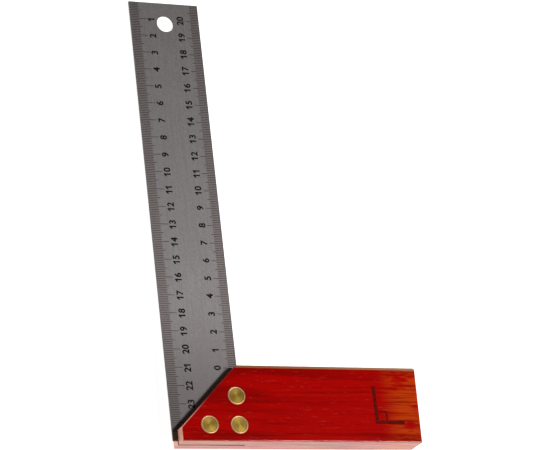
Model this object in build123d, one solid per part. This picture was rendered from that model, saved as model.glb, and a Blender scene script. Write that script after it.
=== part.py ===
from build123d import *
import os

# Carpenter's try square: a ruled steel blade held at 90 degrees in a kerf at
# the mitred end of a hardwood stock by three two-piece brass rivets.
#
# Frame, in millimetres: the origin is the inside corner of the square, on the
# mid-plane of the blade. +X runs along the stock away from the blade, +Y runs
# along the blade to its tip, and +Z is the face with the graduations.

# Blade: its scales run from the tip and from the inside corner.
blade_length = 250.0
blade_width = 40.0
blade_thickness = 1.2
blade_edge_break = 0.1
hanging_hole_diameter = 9.6
hanging_hole_from_tip = 12.3
hanging_hole_from_inner_edge = 19.9

# Stock: measured along X on its outer edge, and along Y and Z. The blade stands
# proud of its mitred end, and the stock stands proud of the blade's own end. Its
# free end is cut slightly out of square, so its inner edge is a little longer.
stock_length = 136.4
stock_width = 42.0
stock_thickness = 14.4
blade_overhang = 3.0
stock_overhang = 2.0
free_end_slant = 1.0
mitre_set_back = 2.8
fence_arris_chamfer = 1.8
stock_arris_radius = 0.5
kerf_side_clearance = 0.05

# Rivets: a socket from the back and a pin from the front, both with round
# heads in counterbores, set in a hair below the wood. Depths on a head are
# measured from the top of its rim.
rivet_head_diameter = 10.0
rivet_head_thickness = 1.6
rivet_rim_width = 0.9
rivet_rim_fall = 0.3
rivet_face_recess = 0.12
rivet_head_inset = 0.02
rivet_tube_diameter = 6.0
rivet_pin_diameter = 4.0
rivet_pin_end_gap = 0.5
rivet_clearance = 0.05
rivet_places = {
    "heel": (-21.4, -33.0),
    "outer": (-4.8, -33.0),
    "inner": (-4.8, -17.2),
}

# Places that follow from the dimensions above.
blade_end_y = stock_overhang - stock_width
blade_tip_y = blade_end_y + blade_length
stock_left_x = blade_overhang - blade_width
stock_right_x = stock_left_x + stock_length
half_stock = stock_thickness / 2
blade_middle = (-blade_width / 2, (blade_end_y + blade_tip_y) / 2)
hanging_hole = (-hanging_hole_from_inner_edge, blade_tip_y - hanging_hole_from_tip)

# Holes that the rivets pass through, with their running clearance.
through_hole_radius = rivet_tube_diameter / 2 + rivet_clearance
counterbore_radius = rivet_head_diameter / 2 + rivet_clearance
head_seat_z = half_stock - rivet_head_thickness


def make_blade():
    """The steel blade, with its hanging hole and three rivet holes."""
    plate = Box(blade_width, blade_length, blade_thickness)
    perimeter = plate.faces().sort_by(Axis.Z)[0].edges()
    perimeter += plate.faces().sort_by(Axis.Z)[-1].edges()
    plate = chamfer(perimeter, blade_edge_break)
    blade = Pos(*blade_middle) * plate
    blade -= Pos(*hanging_hole) * Cylinder(hanging_hole_diameter / 2, 2 * blade_thickness)
    for place in rivet_places.values():
        blade -= Pos(*place) * Cylinder(through_hole_radius, 2 * blade_thickness)
    return blade


def stock_blank():
    """The mitred wooden bar before the kerf and the rivet bores are cut."""
    outline = Polyline(
        (stock_left_x, -stock_width),
        (stock_right_x, -stock_width),
        (stock_right_x + free_end_slant, 0),
        (-mitre_set_back, 0),
        (stock_left_x, stock_left_x + mitre_set_back),
        close=True,
    )
    bar = extrude(make_face(outline), half_stock, both=True)
    fence_edges = bar.faces().sort_by(Axis.Y)[-1].edges().filter_by(Axis.X)
    bar = chamfer(fence_edges, fence_arris_chamfer)
    broad_faces = bar.faces().sort_by(Axis.Z)
    arrises = broad_faces[0].edges() + broad_faces[-1].edges()
    away_from_fence = -2 * fence_arris_chamfer
    arrises = arrises.filter_by_position(Axis.Y, -stock_width, away_from_fence)
    return fillet(arrises, stock_arris_radius)


def make_stock():
    """The wooden stock, slotted for the blade and counterbored for the rivets."""
    stock = stock_blank()
    kerf_thickness = blade_thickness + 2 * kerf_side_clearance
    kerf = Box(2 * blade_width, 3 * stock_width, kerf_thickness)
    stock -= Pos(-blade_width, 0) * kerf
    for place in rivet_places.values():
        stock -= Pos(*place) * Cylinder(through_hole_radius, 2 * stock_thickness)
        for side in (1, -1):
            recess = Cylinder(counterbore_radius, 2 * rivet_head_thickness)
            stock -= Pos(*place, side * half_stock) * recess
    return stock


def rivet_half(side, below_head, place):
    """A turned rivet half, with a dished head inside a rounded rim.

    side is 1 for a head on the front and -1 for one on the back, and below_head
    lists the radius and height pairs of the rest of the section.
    """
    head_radius = rivet_head_diameter / 2
    rim_z = half_stock - rivet_head_inset
    rim_start = (head_radius - rivet_rim_width, 0, side * (rim_z - rivet_face_recess))
    rim_top = (head_radius - rivet_rim_width / 2, 0, side * rim_z)
    rim_end = (head_radius, 0, side * (rim_z - rivet_rim_fall))
    head_centre = (0, 0, rim_start[2])
    under_head = (head_radius, 0, side * (head_seat_z + rivet_clearance))
    corners = [rim_end, under_head]
    corners += [(radius, 0, height) for radius, height in below_head]
    corners += [head_centre, rim_start]
    section = Polyline(*corners) + ThreePointArc(rim_start, rim_top, rim_end)
    return Pos(*place) * revolve(make_face(section), Axis.Z)


def make_rivet_pin(place):
    """The front half of a rivet: a head at the top and a solid pin below it."""
    pin_radius = rivet_pin_diameter / 2
    pin_tip_z = -head_seat_z + rivet_pin_end_gap
    below_head = [
        (pin_radius, head_seat_z + rivet_clearance),
        (pin_radius, pin_tip_z),
        (0, pin_tip_z),
    ]
    return rivet_half(1, below_head, place)


def make_rivet_socket(place):
    """The back half of a rivet: a head at the bottom and a tube above it."""
    tube_radius = rivet_tube_diameter / 2
    bore_radius = rivet_pin_diameter / 2 + rivet_clearance
    below_head = [
        (tube_radius, -head_seat_z - rivet_clearance),
        (tube_radius, head_seat_z),
        (bore_radius, head_seat_z),
        (bore_radius, -head_seat_z),
        (0, -head_seat_z),
    ]
    return rivet_half(-1, below_head, place)


def write_parts():
    """One STEP file for each separate piece of the square."""
    os.makedirs("parts", exist_ok=True)
    pieces = {"blade": make_blade(), "stock": make_stock()}
    for name, place in rivet_places.items():
        pieces[f"rivet_pin_{name}"] = make_rivet_pin(place)
        pieces[f"rivet_socket_{name}"] = make_rivet_socket(place)
    for name, piece in pieces.items():
        export_step(piece, f"parts/{name}.step")


write_parts()
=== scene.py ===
import math

import bmesh
import bpy
from mathutils import Matrix, Quaternion, Vector


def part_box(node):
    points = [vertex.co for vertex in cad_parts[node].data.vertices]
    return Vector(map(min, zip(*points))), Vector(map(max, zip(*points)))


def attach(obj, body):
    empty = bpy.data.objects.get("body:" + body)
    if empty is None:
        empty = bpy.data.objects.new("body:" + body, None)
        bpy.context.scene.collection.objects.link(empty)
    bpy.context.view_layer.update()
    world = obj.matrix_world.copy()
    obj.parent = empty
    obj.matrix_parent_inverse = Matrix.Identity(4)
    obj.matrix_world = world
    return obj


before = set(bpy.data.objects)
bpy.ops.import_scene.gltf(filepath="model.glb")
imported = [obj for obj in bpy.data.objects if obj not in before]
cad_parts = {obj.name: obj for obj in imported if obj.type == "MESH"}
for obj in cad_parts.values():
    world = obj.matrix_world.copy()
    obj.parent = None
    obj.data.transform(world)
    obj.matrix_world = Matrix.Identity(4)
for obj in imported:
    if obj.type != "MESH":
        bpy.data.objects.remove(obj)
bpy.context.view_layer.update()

# Lengths are in metres and angles in degrees. +X runs along the stock, +Y along
# the blade to its tip, and +Z is the face with the graduations.
MM = 0.001
blade_low, blade_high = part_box("blade")
stock_low, stock_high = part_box("stock")

# Camera
CAMERA_PLACE = Vector((-0.5628, -0.4388, 1.2950))
CAMERA_HEADING = 48.78
CAMERA_DIP = 58.60
CAMERA_ROLL = 46.51
CAMERA_LENS = 183.98
CAMERA_NEAR = 0.05
CAMERA_FAR = 50
SENSOR_WIDTH = 36.0

# Edges of the CAD parts that the finish and the floor follow
FENCE_CHAMFER = 1.8 * MM
BLADE_EDGE_BREAK = 0.1 * MM
KERF_HALF_WIDTH = 0.65 * MM
MITRE_LOW_Y = -34.2 * MM
RIM_INNER_RADIUS = 4.1 * MM

# Graduations: lengths and distances on the blade's face. Tick lengths are given
# for each millimetre, each fifth one and each centimetre.
MARK_BELOW = 0.005 * MM
MARK_ABOVE = 0.02 * MM
TICK_WIDTH = 0.27 * MM
EDGE_MARGIN = 0.2 * MM
END_MARGIN = 0.3 * MM
OUTER_TICKS = {1: 5.2 * MM, 5: 6.5 * MM, 10: 9.3 * MM}
INNER_TICKS = {1: 4.9 * MM, 5: 6.3 * MM, 10: 7.8 * MM}
OUTER_NUMBERS = range(1, 25)
INNER_NUMBERS = range(21)
OUTER_BASELINE = 13.9 * MM
INNER_BASELINE = 9.3 * MM
FONT_SIZE = 5.14 * MM
DIGIT_PITCH = FONT_SIZE / 2
NUMERAL_WEIGHT = 0.15 * MM

# Burned sign: its legs, the small square in its corner, and its place
SIGN_STROKE = 2.0 * MM
SIGN_SQUARE_INSIDE = 6.4 * MM
SIGN_SQUARE_OUTSIDE = 7.4 * MM
SIGN_WIDTH = 17 * MM
SIGN_HEIGHT = 21 * MM
SIGN_FROM_FREE_END = 27 * MM
SIGN_FROM_OUTER_EDGE = 10 * MM
SIGN_BELOW = 0.015 * MM
SIGN_ABOVE = 0.01 * MM

# Studio: the sky, with its bright horizon and its dark flag, the floor and the lights
SKY_OVERHEAD = 0.13
HORIZON_FULL = 0.08
HORIZON_END = 0.42
FLAG_DIRECTION = (0.37, 0.38, 0.845)
FLAG_CORE = math.cos(math.radians(15))
FLAG_EDGE = math.cos(math.radians(52))
FLAG_DARKNESS = 0.04
FLOOR_SIZE = 12
FLOOR_GLOW = 0.85
KEY_LIGHT = {
    "place": (0.766, 0.0, 1.473),
    "target": (0, 0.03, 0),
    "size": (0.30, 0.30),
    "power": 16.5,
}
FILL_LIGHT = {
    "place": (-1.6, -0.2, 0.6),
    "target": (0, 0, 0),
    "size": (2.4, 1.0),
    "power": 3,
}


# ---------------------------------------------------------------- camera

def make_camera():
    """The camera looks down at the square, rolled so that the blade stands nearly upright."""
    data = bpy.data.cameras.new("camera")
    data.sensor_width = SENSOR_WIDTH
    data.lens = CAMERA_LENS
    data.clip_start = CAMERA_NEAR
    data.clip_end = CAMERA_FAR
    camera = bpy.data.objects.new("camera", data)
    bpy.context.scene.collection.objects.link(camera)
    heading, dip = math.radians(CAMERA_HEADING), math.radians(CAMERA_DIP)
    forward = Vector(
        (
            math.sin(heading) * math.cos(dip),
            math.cos(heading) * math.cos(dip),
            -math.sin(dip),
        )
    )
    level = forward.to_track_quat("-Z", "Y")
    roll = Quaternion((0, 0, 1), math.radians(CAMERA_ROLL))
    camera.rotation_mode = "QUATERNION"
    camera.rotation_quaternion = level @ roll
    camera.location = CAMERA_PLACE
    bpy.context.scene.camera = camera


# ---------------------------------------------------------------- shader nodes

class Graph:
    """A material's node tree. Most methods add a node and return its output socket."""

    def __init__(self, name):
        self.material = bpy.data.materials.new(name)
        self.material.use_nodes = True
        self.tree = self.material.node_tree
        self.shader = self.tree.nodes["Principled BSDF"]
        self.place = self.add("ShaderNodeTexCoord").outputs["Object"]

    def add(self, kind, **settings):
        """Adds a node of that kind and returns the node itself."""
        node = self.tree.nodes.new(kind)
        for key, value in settings.items():
            setattr(node, key, value)
        return node

    def plug(self, socket, value):
        """Links an input to another socket, or sets it to a constant."""
        if isinstance(value, bpy.types.NodeSocket):
            self.tree.links.new(value, socket)
        else:
            socket.default_value = value

    def math(self, operation, first, second=0.0):
        node = self.add("ShaderNodeMath", operation=operation)
        self.plug(node.inputs[0], first)
        self.plug(node.inputs[1], second)
        return node.outputs[0]

    def times(self, first, *others):
        """The product of masks and numbers."""
        product = first
        for other in others:
            product = self.math("MULTIPLY", product, other)
        return product

    def vector_math(self, operation, first, second=(0, 0, 0)):
        """Adds a node and returns the node itself, whose result is a vector or a number."""
        node = self.add("ShaderNodeVectorMath", operation=operation)
        self.plug(node.inputs[0], first)
        self.plug(node.inputs[1], second)
        return node

    def stretch(self, per_mm, vector=None):
        """The place in the row frame, scaled to so many texture units per millimetre."""
        node = self.add("ShaderNodeMapping")
        self.plug(node.inputs["Vector"], vector or self.place)
        node.inputs["Scale"].default_value = [value / MM for value in per_mm]
        return node.outputs[0]

    def noise(self, per_mm, detail=2.0, roughness=0.5, distortion=0.0, vector=None):
        node = self.add("ShaderNodeTexNoise")
        self.plug(node.inputs["Vector"], self.stretch(per_mm, vector))
        node.inputs["Scale"].default_value = 1.0
        node.inputs["Detail"].default_value = detail
        node.inputs["Roughness"].default_value = roughness
        node.inputs["Distortion"].default_value = distortion
        return node.outputs["Fac"]

    def between(self, value, low, high, to_low=0.0, to_high=1.0):
        """A smooth step of value from low to high."""
        node = self.add("ShaderNodeMapRange", interpolation_type="SMOOTHSTEP")
        self.plug(node.inputs["Value"], value)
        node.inputs["From Min"].default_value = low
        node.inputs["From Max"].default_value = high
        node.inputs["To Min"].default_value = to_low
        node.inputs["To Max"].default_value = to_high
        return node.outputs[0]

    def axis(self, name, vector=None):
        """One coordinate of the place in the row frame, or of another vector."""
        node = self.add("ShaderNodeSeparateXYZ")
        self.plug(node.inputs[0], vector or self.place)
        return node.outputs[name]

    def facing(self, name):
        """One coordinate of the mesh's own normal."""
        return self.axis(name, self.add("ShaderNodeNewGeometry").outputs["True Normal"])

    def mix(self, factor, first, second, blend="MIX"):
        node = self.add("ShaderNodeMix", data_type="RGBA", blend_type=blend)
        self.plug(node.inputs["Factor"], factor)
        self.plug(node.inputs[6], first)
        self.plug(node.inputs[7], second)
        return node.outputs[2]

    def darken(self, colour, shade):
        """A colour multiplied by a number from the same graph."""
        grey = self.add("ShaderNodeCombineColor")
        for channel in grey.inputs:
            self.plug(channel, shade)
        return self.mix(1.0, colour, grey.outputs[0], "MULTIPLY")

    def bump(self, height, depth_mm):
        node = self.add("ShaderNodeBump")
        self.plug(node.inputs["Height"], height)
        node.inputs["Distance"].default_value = depth_mm * MM
        return node.outputs[0]

    def set(self, **inputs):
        """Sets or links the shader's own inputs, named with underscores for spaces."""
        for key, value in inputs.items():
            self.plug(self.shader.inputs[key.replace("_", " ")], value)


def paint(obj, material):
    """Gives an object one material in place of those it has."""
    obj.data.materials.clear()
    obj.data.materials.append(material)


# ---------------------------------------------------------------- wood

CREAM = (0.900, 0.4600, 0.3300, 1)


def long_grain(g, fibres, pores):
    """The colour of the wood along its grain, which turns orange at the free end."""
    dark = (0.340, 0.0010, 0.0004, 1)
    red = (0.530, 0.0014, 0.0006, 1)
    bright = (0.620, 0.0120, 0.0060, 1)
    fleck = (0.640, 0.0450, 0.0330, 1)
    orange = (0.660, 0.0560, 0.0030, 1)
    brown = (0.350, 0.0140, 0.0020, 1)
    pore = (0.090, 0.0006, 0.0003, 1)

    bands = g.noise((0.008, 0.11, 0.09), detail=2, distortion=0.3)
    streaks = g.noise((0.018, 0.70, 0.50), detail=3, roughness=0.65)
    flecks = g.between(g.noise((0.22, 1.6, 1.6), detail=2), 0.65, 0.74)
    colour = g.mix(g.between(bands, 0.40, 0.58), dark, red)
    colour = g.mix(g.between(streaks, 0.46, 0.34, 0.0, 0.7), colour, dark)
    colour = g.mix(g.between(streaks, 0.56, 0.74, 0.0, 0.5), colour, bright)
    colour = g.mix(g.times(flecks, 0.65), colour, fleck)

    orange_start = stock_high.x - 24 * MM
    orange_full = stock_high.x - 10 * MM
    patches = g.noise((0.06, 0.25, 0.25), detail=3, roughness=0.6)
    free_end = g.between(g.axis("X"), orange_start, orange_full)
    free_end = g.times(free_end, g.between(patches, 0.34, 0.52))
    end_colour = g.mix(g.between(streaks, 0.38, 0.50), brown, orange)
    colour = g.mix(free_end, colour, end_colour)

    colour = g.darken(colour, g.between(fibres, 0.25, 0.75, 0.84, 1.10))
    return g.mix(g.times(pores, 0.5), colour, pore)


def end_grain(g):
    """The colour of the wood where it is cut across: fine dark pores in growth bands."""
    late_wood = (0.250, 0.0260, 0.0060, 1)
    early_wood = (0.440, 0.0700, 0.0160, 1)
    pore = (0.110, 0.0060, 0.0020, 1)
    rings = g.noise((0.0, 0.30, 0.75), detail=2, distortion=0.6)
    speckle = g.noise((0.0, 3.2, 3.2), detail=2, roughness=0.6)
    colour = g.mix(g.between(rings, 0.40, 0.60), late_wood, early_wood)
    return g.mix(g.between(speckle, 0.56, 0.66, 0.0, 0.7), colour, pore)


def chalky(g, colour):
    """Adds the pale mitred end and the pale streaks of the outer edge: partly paler wood, partly painted
    sheen of the bright surroundings.
    """
    pale = (0.560, 0.3500, 0.2000, 1)
    pale_streak_noise = g.noise((0.03, 1.2, 1.2), detail=3, roughness=0.7)
    mitred_end = g.between(g.facing("X"), -0.80, -0.95)
    colour = g.mix(g.times(mitred_end, g.between(pale_streak_noise, 0.36, 0.56, 0.35, 1.0)), colour, CREAM)
    edge_start = stock_low.y + 0.5 * MM
    edge_full = stock_low.y + 0.1 * MM
    outer_edge = g.between(g.axis("Y"), edge_start, edge_full)
    return g.mix(g.times(outer_edge, g.between(pale_streak_noise, 0.35, 0.65, 0.1, 0.6)), colour, pale)


def rubbed_arris(g):
    """A mask of the lower half of the mitre's front arris, where a pale highlight is painted on."""
    mitre_line = stock_low.x - MITRE_LOW_Y
    strip_edge = mitre_line + 0.9 * MM
    strip_full = mitre_line + 0.4 * MM
    from_mitre = g.math("SUBTRACT", g.axis("X"), g.axis("Y"))
    near_mitre = g.between(from_mitre, strip_edge, strip_full)
    front_start, front_full = 6.6 * MM, 6.9 * MM
    fade_start, fade_full = -20 * MM, -33 * MM
    on_front = g.between(g.axis("Z"), front_start, front_full)
    lower_half = g.between(g.axis("X"), fade_start, fade_full)
    return g.times(near_mitre, on_front, lower_half)


def worn_chamfer(g):
    """A mask of the front chamfer along the fence, which has lost its lacquer and carries painted shade
    towards the blade.
    """
    chamfer_start = -FENCE_CHAMFER - 0.3 * MM
    chamfer_full = -FENCE_CHAMFER + 0.1 * MM
    height_start, height_full = 5.0 * MM, 5.6 * MM
    by_fence = g.between(g.axis("Y"), chamfer_start, chamfer_full)
    return g.times(by_fence, g.between(g.axis("Z"), height_start, height_full))


def kerf_inside(g):
    """A mask of the inside of the saw kerf, which shows round the end of the blade."""
    start, full = 0.1 * MM, 0.2 * MM
    off_middle = g.math("ABSOLUTE", g.axis("Z"))
    in_slot = g.between(off_middle, KERF_HALF_WIDTH + 0.03 * MM, KERF_HALF_WIDTH + 0.01 * MM)
    past_outer_edge = g.between(g.axis("Y"), stock_low.y + start, stock_low.y + full)
    past_mitred_end = g.between(g.axis("X"), stock_low.x + start, stock_low.x + full)
    before_blade_edge = g.between(g.axis("X"), blade_high.x + full, blade_high.x + start)
    return g.times(in_slot, past_outer_edge, past_mitred_end, before_blade_edge)


def red_hardwood():
    """Straight-grained red wood under clear lacquer, with a paler orange end."""
    g = Graph("red_hardwood")
    fibres = g.noise((0.07, 3.4, 2.8), detail=3, roughness=0.65)
    pores = g.between(g.noise((0.12, 3.0, 3.0), detail=1), 0.66, 0.76)
    cut_across = g.between(g.math("ABSOLUTE", g.facing("X")), 0.60, 0.70)
    colour = g.mix(cut_across, long_grain(g, fibres, pores), end_grain(g))
    # Paler end face and outer edge: partly paler wood, partly painted sheen.
    colour = chalky(g, colour)
    # Painted highlight: the lower half of the mitre's front arris is made pale cream.
    colour = g.mix(g.times(rubbed_arris(g), 0.8), colour, CREAM)

    worn_in_painted_shade = (0.30, 0.105, 0.030, 1)
    worn_tan = (0.420, 0.1900, 0.0900, 1)
    kerf_bare_and_painted_light = (0.80, 0.20, 0.14, 1)
    worn = worn_chamfer(g)
    in_kerf = kerf_inside(g)
    # The worn chamfer is darkened towards the blade with painted shade.
    colour = g.mix(worn, colour, g.mix(g.between(g.axis("X"), 0.0, stock_high.x), worn_in_painted_shade, worn_tan))
    # Inside the kerf: bare sawn wood, brightened as painted light against the slot's shade.
    colour = g.mix(in_kerf, colour, kerf_bare_and_painted_light)

    bare_wood = g.math("MAXIMUM", g.times(worn, 0.8), in_kerf)
    relief = g.math("SUBTRACT", g.times(fibres, 0.4), pores)
    g.set(
        Base_Color=colour,
        Roughness=0.45,
        Specular_IOR_Level=0.0,
        Coat_Weight=g.times(g.math("SUBTRACT", 1.0, bare_wood), 0.85),
        Coat_Roughness=0.10,
        Coat_IOR=1.42,
        Normal=g.bump(relief, 0.012),
    )
    return g.material


def burned_wood():
    """Scorched red-brown wood, patchy where the brand pressed unevenly."""
    g = Graph("burned_wood")
    scorched = (0.110, 0.0035, 0.0012, 1)
    browned = (0.240, 0.0060, 0.0020, 1)
    dark_grain = (0.080, 0.0025, 0.0010, 1)
    patches = g.noise((0.5, 1.2, 1.0), detail=3, roughness=0.6)
    grain = g.noise((0.07, 3.4, 2.8), detail=3, roughness=0.65)
    colour = g.mix(g.between(patches, 0.35, 0.70), scorched, browned)
    colour = g.mix(g.between(grain, 0.45, 0.70, 0.0, 0.6), colour, dark_grain)
    g.set(Base_Color=colour, Roughness=0.6, Specular_IOR_Level=0.0, Coat_Weight=0.6, Coat_Roughness=0.12)
    return g.material


# ---------------------------------------------------------------- metals and ink

def brushed_steel():
    """Satin steel, brushed along the blade, so its highlights spread across it."""
    g = Graph("brushed_steel")
    dark = (0.212, 0.196, 0.195, 1)
    light = (0.335, 0.310, 0.309, 1)
    clouded = (0.250, 0.230, 0.224, 1)
    under_scales = (0.240, 0.200, 0.193, 1)
    painted_shade_tone = (0.100, 0.088, 0.087, 1)
    painted_side_shade = (0.110, 0.100, 0.097, 1)

    scratches = g.noise((5.0, 0.07, 0.05), detail=4, roughness=0.75)
    lines = g.noise((1.2, 0.02, 0.01), detail=3, roughness=0.7)
    clouds = g.noise((0.06, 0.03, 0.05), detail=3, roughness=0.55)
    grit = g.noise((1.5, 1.2, 1.0), detail=3, roughness=0.7)
    tone = g.math("ADD", g.times(scratches, 0.35), g.times(lines, 0.2))
    tone = g.math("ADD", tone, g.times(grit, 0.45))
    colour = g.mix(g.between(tone, 0.36, 0.64), dark, light)
    colour = g.mix(g.between(clouds, 0.35, 0.7, 0.0, 0.3), colour, clouded)

    # The face is darker under both scales, and painted shade darkens it towards the stock, which also
    # deepens the shadow beside the mitre.
    middle_x = (blade_low.x + blade_high.x) / 2
    band_start, band_full = 14.0 * MM, 15.8 * MM
    shade_start, shade_full = 45 * MM, -30 * MM
    off_middle = g.math("ABSOLUTE", g.math("SUBTRACT", g.axis("X"), middle_x))
    colour = g.mix(g.times(g.between(off_middle, band_start, band_full), 0.5), colour, under_scales)
    painted_shade_mask = g.between(g.axis("Y"), shade_start, shade_full)
    colour = g.mix(g.times(painted_shade_mask, 0.75), colour, painted_shade_tone)

    # The narrow sides of the plate and of its holes are painted darker, as shade on those walls.
    flatness = g.math("ABSOLUTE", g.facing("Z"))
    colour = g.mix(g.between(flatness, 0.6, 0.4), colour, painted_side_shade)
    sideways = g.add("ShaderNodeCombineXYZ")
    sideways.inputs["X"].default_value = 1.0
    g.set(
        Base_Color=colour,
        Metallic=1.0,
        Roughness=g.between(tone, 0.25, 0.75, 0.52, 0.60),
        Anisotropic=0.2,
        Tangent=sideways.outputs[0],
        Normal=g.bump(scratches, 0.002),
    )
    return g.material


def turned_brass(name, centre):
    """Brass faced in a lathe: fine rings round the rivet's own axis, and a paler, pinker rim that is
    painted reflection.
    """
    g = Graph(name)
    golden = (0.53, 0.35, 0.050, 1)
    coppery = (0.70, 0.41, 0.115, 1)
    ring_groove = (0.48, 0.32, 0.045, 1)
    painted_rim_reflection = (0.56, 0.32, 0.17, 1)
    rim_roughness = (0.40, 0.40, 0.40, 1)

    offset = g.vector_math("SUBTRACT", g.place, (centre.x, centre.y, 0)).outputs[0]
    outwards = g.vector_math("MULTIPLY", offset, (1, 1, 0)).outputs[0]
    radius = g.vector_math("LENGTH", outwards).outputs["Value"]
    radial = g.vector_math("NORMALIZE", outwards).outputs[0]
    ring_place = g.add("ShaderNodeCombineXYZ")
    g.plug(ring_place.inputs["X"], radius)
    rings = g.noise((4.0, 0, 0), detail=2, roughness=0.7, vector=ring_place.outputs[0])
    tarnish = g.noise((0.30, 0.30, 0.30), detail=3, roughness=0.6)
    colour = g.mix(g.between(tarnish, 0.35, 0.65), golden, coppery)
    colour = g.mix(g.between(rings, 0.3, 0.7, 0.0, 0.4), colour, ring_groove)
    rim = g.between(radius, RIM_INNER_RADIUS, RIM_INNER_RADIUS + 0.2 * MM)
    # The rim's paler, pinker brass is painted reflection of the bright surroundings.
    colour = g.mix(rim, colour, painted_rim_reflection)
    g.set(
        Base_Color=colour,
        Metallic=1.0,
        Roughness=g.mix(rim, g.between(rings, 0.3, 0.7, 0.17, 0.23), rim_roughness),
        Anisotropic=0.2,
        Tangent=radial,
        Normal=g.bump(rings, 0.006),
    )
    return g.material


def graduation_ink():
    """Matt dark filling of the etched marks, slightly worn."""
    g = Graph("graduation_ink")
    black = (0.004, 0.0035, 0.0035, 1)
    worn = (0.02, 0.017, 0.016, 1)
    wear = g.noise((1.5, 1.5, 1.5), detail=2, roughness=0.6)
    colour = g.mix(g.between(wear, 0.35, 0.75), black, worn)
    g.set(Base_Color=colour, Roughness=0.7, Specular_IOR_Level=0.05)
    return g.material


# ---------------------------------------------------------------- mesh pieces

def link(name, bm, material):
    """A new piece from a finished bmesh, which rides on the square's one body."""
    mesh = bpy.data.meshes.new(name)
    bm.to_mesh(mesh)
    bm.free()
    mesh.materials.clear()
    mesh.materials.append(material)
    piece = bpy.data.objects.new(name, mesh)
    bpy.context.scene.collection.objects.link(piece)
    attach(piece, "root")


def thicken(bm, depth):
    """Turns flat faces into a closed solid that stands that much higher."""
    bases = bm.faces[:]
    rim = [edge.verts[:] for edge in bm.edges if edge.is_boundary]
    lifted = {vert: bm.verts.new(vert.co + Vector((0, 0, depth))) for vert in bm.verts[:]}
    for base in bases:
        bm.faces.new([lifted[vert] for vert in base.verts])
    for first, second in rim:
        bm.faces.new((first, second, lifted[second], lifted[first]))
    bmesh.ops.recalc_face_normals(bm, faces=bm.faces)


# ---------------------------------------------------------------- graduations

def tick_box(bm, x_from, x_to, y):
    """One etched line across the blade's edge, a thin box let into its face."""
    size = Vector((abs(x_to - x_from), TICK_WIDTH, MARK_ABOVE + MARK_BELOW))
    centre = Vector(((x_from + x_to) / 2, y, blade_high.z + (MARK_ABOVE - MARK_BELOW) / 2))
    bmesh.ops.create_cube(bm, size=1.0, matrix=Matrix.LocRotScale(centre, None, size))


def tick_length(millimetre, lengths):
    """The length of a tick: the longest step that its millimetre is a multiple of."""
    for step in (10, 5, 1):
        if millimetre % step == 0:
            return lengths[step]


def make_ticks(name, count, zero_y, direction, edge_x, inward, lengths, material):
    """A millimetre scale: ticks from an edge of the blade inwards, starting at zero_y."""
    bm = bmesh.new()
    for millimetre in range(count + 1):
        y = zero_y + direction * millimetre * MM
        if blade_low.y + END_MARGIN < y < blade_high.y - END_MARGIN:
            length = tick_length(millimetre, lengths)
            tick_box(bm, edge_x + inward * EDGE_MARGIN, edge_x + inward * length, y)
    link(name, bm, material)


def font_digit(digit):
    """The mesh of one digit in Blender's own font, upright along +Y and centred on x = 0."""
    curve = bpy.data.curves.new("digit", "FONT")
    curve.body = digit
    curve.align_x = "CENTER"
    curve.size = FONT_SIZE
    curve.extrude = (MARK_ABOVE + MARK_BELOW) / 2
    carrier = bpy.data.objects.new("digit", curve)
    mesh = bpy.data.meshes.new_from_object(carrier)
    bpy.data.objects.remove(carrier)
    bpy.data.curves.remove(curve)
    return mesh


def flagged_one():
    """A digit 1 with a slanted flag, which the font's plain bar lacks."""
    half_stem = 0.049 * FONT_SIZE
    top = 0.682 * FONT_SIZE
    flag_depth = 0.12 * FONT_SIZE
    flag_low = top - 0.15 * FONT_SIZE
    flag_left = -half_stem - 0.17 * FONT_SIZE
    outline = [
        (half_stem, 0),
        (half_stem, top),
        (-half_stem, top),
        (flag_left, flag_low),
        (flag_left, flag_low - flag_depth),
        (-half_stem, top - flag_depth),
        (-half_stem, 0),
    ]
    depth = MARK_ABOVE + MARK_BELOW
    bm = bmesh.new()
    bm.faces.new([bm.verts.new((x, y, -depth / 2)) for x, y in outline])
    thicken(bm, depth)
    mesh = bpy.data.meshes.new("digit")
    bm.to_mesh(mesh)
    bm.free()
    return mesh


def embolden(bm):
    """Moves every side wall of the glyphs outwards by NUMERAL_WEIGHT."""
    flattest_wall = 0.5
    sharpest_corner = 0.3
    bm.normal_update()
    moves = {}
    for vert in bm.verts:
        walls = [face.normal for face in vert.link_faces if abs(face.normal.z) < flattest_wall]
        outwards = sum(walls, Vector()) / max(len(walls), 1)
        outwards.z = 0
        if outwards.length > sharpest_corner:
            moves[vert] = outwards * (NUMERAL_WEIGHT / outwards.length_squared)
    for vert, move in moves.items():
        vert.co += move


def make_numerals(name, numbers, baseline_x, material):
    """Numbers that read towards the tip. numbers gives each one's place along the blade."""
    bm = bmesh.new()
    z = blade_high.z + (MARK_ABOVE - MARK_BELOW) / 2
    for number, y in numbers.items():
        digits = str(number)
        place = Matrix.Translation((baseline_x, y, z)) @ Matrix.Rotation(math.pi / 2, 4, "Z")
        for index, digit in enumerate(digits):
            glyph = flagged_one() if digit == "1" else font_digit(digit)
            along = (index - (len(digits) - 1) / 2) * DIGIT_PITCH
            glyph.transform(place @ Matrix.Translation((along, 0, 0)))
            bm.from_mesh(glyph)
            bpy.data.meshes.remove(glyph)
    bmesh.ops.remove_doubles(bm, verts=bm.verts, dist=0.001 * MM)
    embolden(bm)
    link(name, bm, material)


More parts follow.
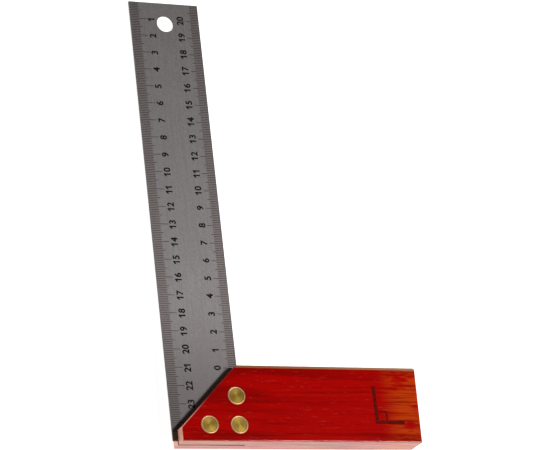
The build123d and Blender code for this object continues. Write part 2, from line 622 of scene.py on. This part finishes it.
def make_graduations():
    """Both scales: the outer one counts from the tip, the inner one from the fence."""
    ink = graduation_ink()
    outer_length = round((blade_high.y - blade_low.y) / MM)
    inner_length = round(blade_high.y / MM)
    make_ticks("outer_scale_ticks", outer_length, blade_high.y, -1, blade_low.x, 1, OUTER_TICKS, ink)
    make_ticks("inner_scale_ticks", inner_length, 0.0, 1, blade_high.x, -1, INNER_TICKS, ink)
    centimetre = 10 * MM
    outer = {number: blade_high.y - number * centimetre for number in OUTER_NUMBERS}
    inner = {number: number * centimetre for number in INNER_NUMBERS}
    make_numerals("outer_scale_numerals", outer, blade_low.x + OUTER_BASELINE, ink)
    make_numerals("inner_scale_numerals", inner, blade_high.x - INNER_BASELINE, ink)


# ---------------------------------------------------------------- burned sign

def make_burned_mark():
    """A plain right-angle sign burned into the front of the stock near its free end.

    The cells of a small grid make it up: two long legs, and a square outline in
    the corner between them.
    """
    across = (0, SIGN_STROKE, SIGN_SQUARE_INSIDE, SIGN_SQUARE_OUTSIDE, SIGN_WIDTH)
    upwards = (0, SIGN_STROKE, SIGN_SQUARE_INSIDE, SIGN_SQUARE_OUTSIDE, SIGN_HEIGHT)
    square_cell = 2
    corner = Vector(
        (
            stock_high.x - SIGN_FROM_FREE_END,
            stock_low.y + SIGN_FROM_OUTER_EDGE,
            stock_high.z - SIGN_BELOW,
        )
    )
    bm = bmesh.new()
    grid = [[bm.verts.new(corner + Vector((x, y, 0))) for y in upwards] for x in across]
    for column, (near, far) in enumerate(zip(grid, grid[1:])):
        for row in range(len(upwards) - 1):
            on_leg = min(column, row) == 0
            on_square = max(column, row) == square_cell
            if on_leg or on_square:
                bm.faces.new((near[row], far[row], far[row + 1], near[row + 1]))
    unused = [vert for vert in bm.verts if not vert.link_faces]
    bmesh.ops.delete(bm, geom=unused, context="VERTS")
    thicken(bm, SIGN_ABOVE + SIGN_BELOW)
    link("burned_mark", bm, burned_wood())


# ---------------------------------------------------------------- studio

def area_light(name, place, target, size, power):
    """A rectangular light that points at a target."""
    data = bpy.data.lights.new(name, "AREA")
    data.shape = "RECTANGLE"
    data.size, data.size_y = size
    data.energy = power
    lamp = bpy.data.objects.new(name, data)
    bpy.context.scene.collection.objects.link(lamp)
    lamp.location = place
    lamp.rotation_mode = "QUATERNION"
    lamp.rotation_quaternion = (Vector(target) - lamp.location).to_track_quat("-Z", "Y")


def make_floor():
    """A pale floor that the square rests on: its stock's lower arris and its blade's tip touch it."""
    arris_y = -FENCE_CHAMFER
    tip_y = blade_high.y - BLADE_EDGE_BREAK
    slope = math.atan2(blade_low.z - stock_low.z, tip_y - arris_y)
    bpy.ops.mesh.primitive_plane_add(size=FLOOR_SIZE)
    floor = bpy.context.object
    floor.name = "floor"
    floor.location = (0, arris_y, stock_low.z)
    floor.rotation_euler = (slope, 0, 0)
    g = Graph("white_floor")
    cloud = g.noise((0.002, 0.002, 0.002), detail=1)
    g.set(
        Base_Color=g.mix(cloud, (0.80, 0.80, 0.80, 1), (0.84, 0.84, 0.84, 1)),
        Roughness=0.9,
        Specular_IOR_Level=0.0,
        Emission_Color=(1, 1, 1, 1),
        Emission_Strength=FLOOR_GLOW,
    )
    paint(floor, g.material)


def make_world():
    """White all round the horizon and grey overhead, with one dark flag in it.

    The flag is what the flat faces mirror to the camera, so the red stays deep.
    """
    world = bpy.data.worlds.new("studio")
    world.use_nodes = True
    bpy.context.scene.world = world
    tree = world.node_tree
    direction = tree.nodes.new("ShaderNodeTexCoord").outputs["Generated"]
    split = tree.nodes.new("ShaderNodeSeparateXYZ")
    tree.links.new(direction, split.inputs[0])
    towards_flag = tree.nodes.new("ShaderNodeVectorMath")
    towards_flag.operation = "DOT_PRODUCT"
    towards_flag.inputs[1].default_value = FLAG_DIRECTION
    tree.links.new(direction, towards_flag.inputs[0])
    strength = tree.nodes.new("ShaderNodeMath")
    strength.operation = "MULTIPLY"
    background = tree.nodes["Background"]
    background.inputs["Color"].default_value = (1, 1, 1, 1)
    tree.links.new(strength.outputs[0], background.inputs["Strength"])
    fades = [
        (split.outputs["Z"], HORIZON_FULL, HORIZON_END, SKY_OVERHEAD),
        (towards_flag.outputs["Value"], FLAG_EDGE, FLAG_CORE, FLAG_DARKNESS),
    ]
    for factor, (source, start, stop, level) in zip(strength.inputs, fades):
        fade = tree.nodes.new("ShaderNodeMapRange")
        fade.interpolation_type = "SMOOTHSTEP"
        fade.inputs["From Min"].default_value = start
        fade.inputs["From Max"].default_value = stop
        fade.inputs["To Min"].default_value = 1.0
        fade.inputs["To Max"].default_value = level
        tree.links.new(source, fade.inputs["Value"])
        tree.links.new(fade.outputs[0], factor)


def main():
    bpy.context.scene.view_settings.view_transform = "Standard"
    make_camera()
    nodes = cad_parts
    paint(nodes["stock"], red_hardwood())
    paint(nodes["blade"], brushed_steel())
    for name, node in nodes.items():
        if name.startswith("rivet"):
            low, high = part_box(name)
            paint(node, turned_brass("brass_" + name, (low + high) / 2))
    make_graduations()
    make_burned_mark()
    make_floor()
    make_world()
    area_light("key", **KEY_LIGHT)
    area_light("fill", **FILL_LIGHT)


main()
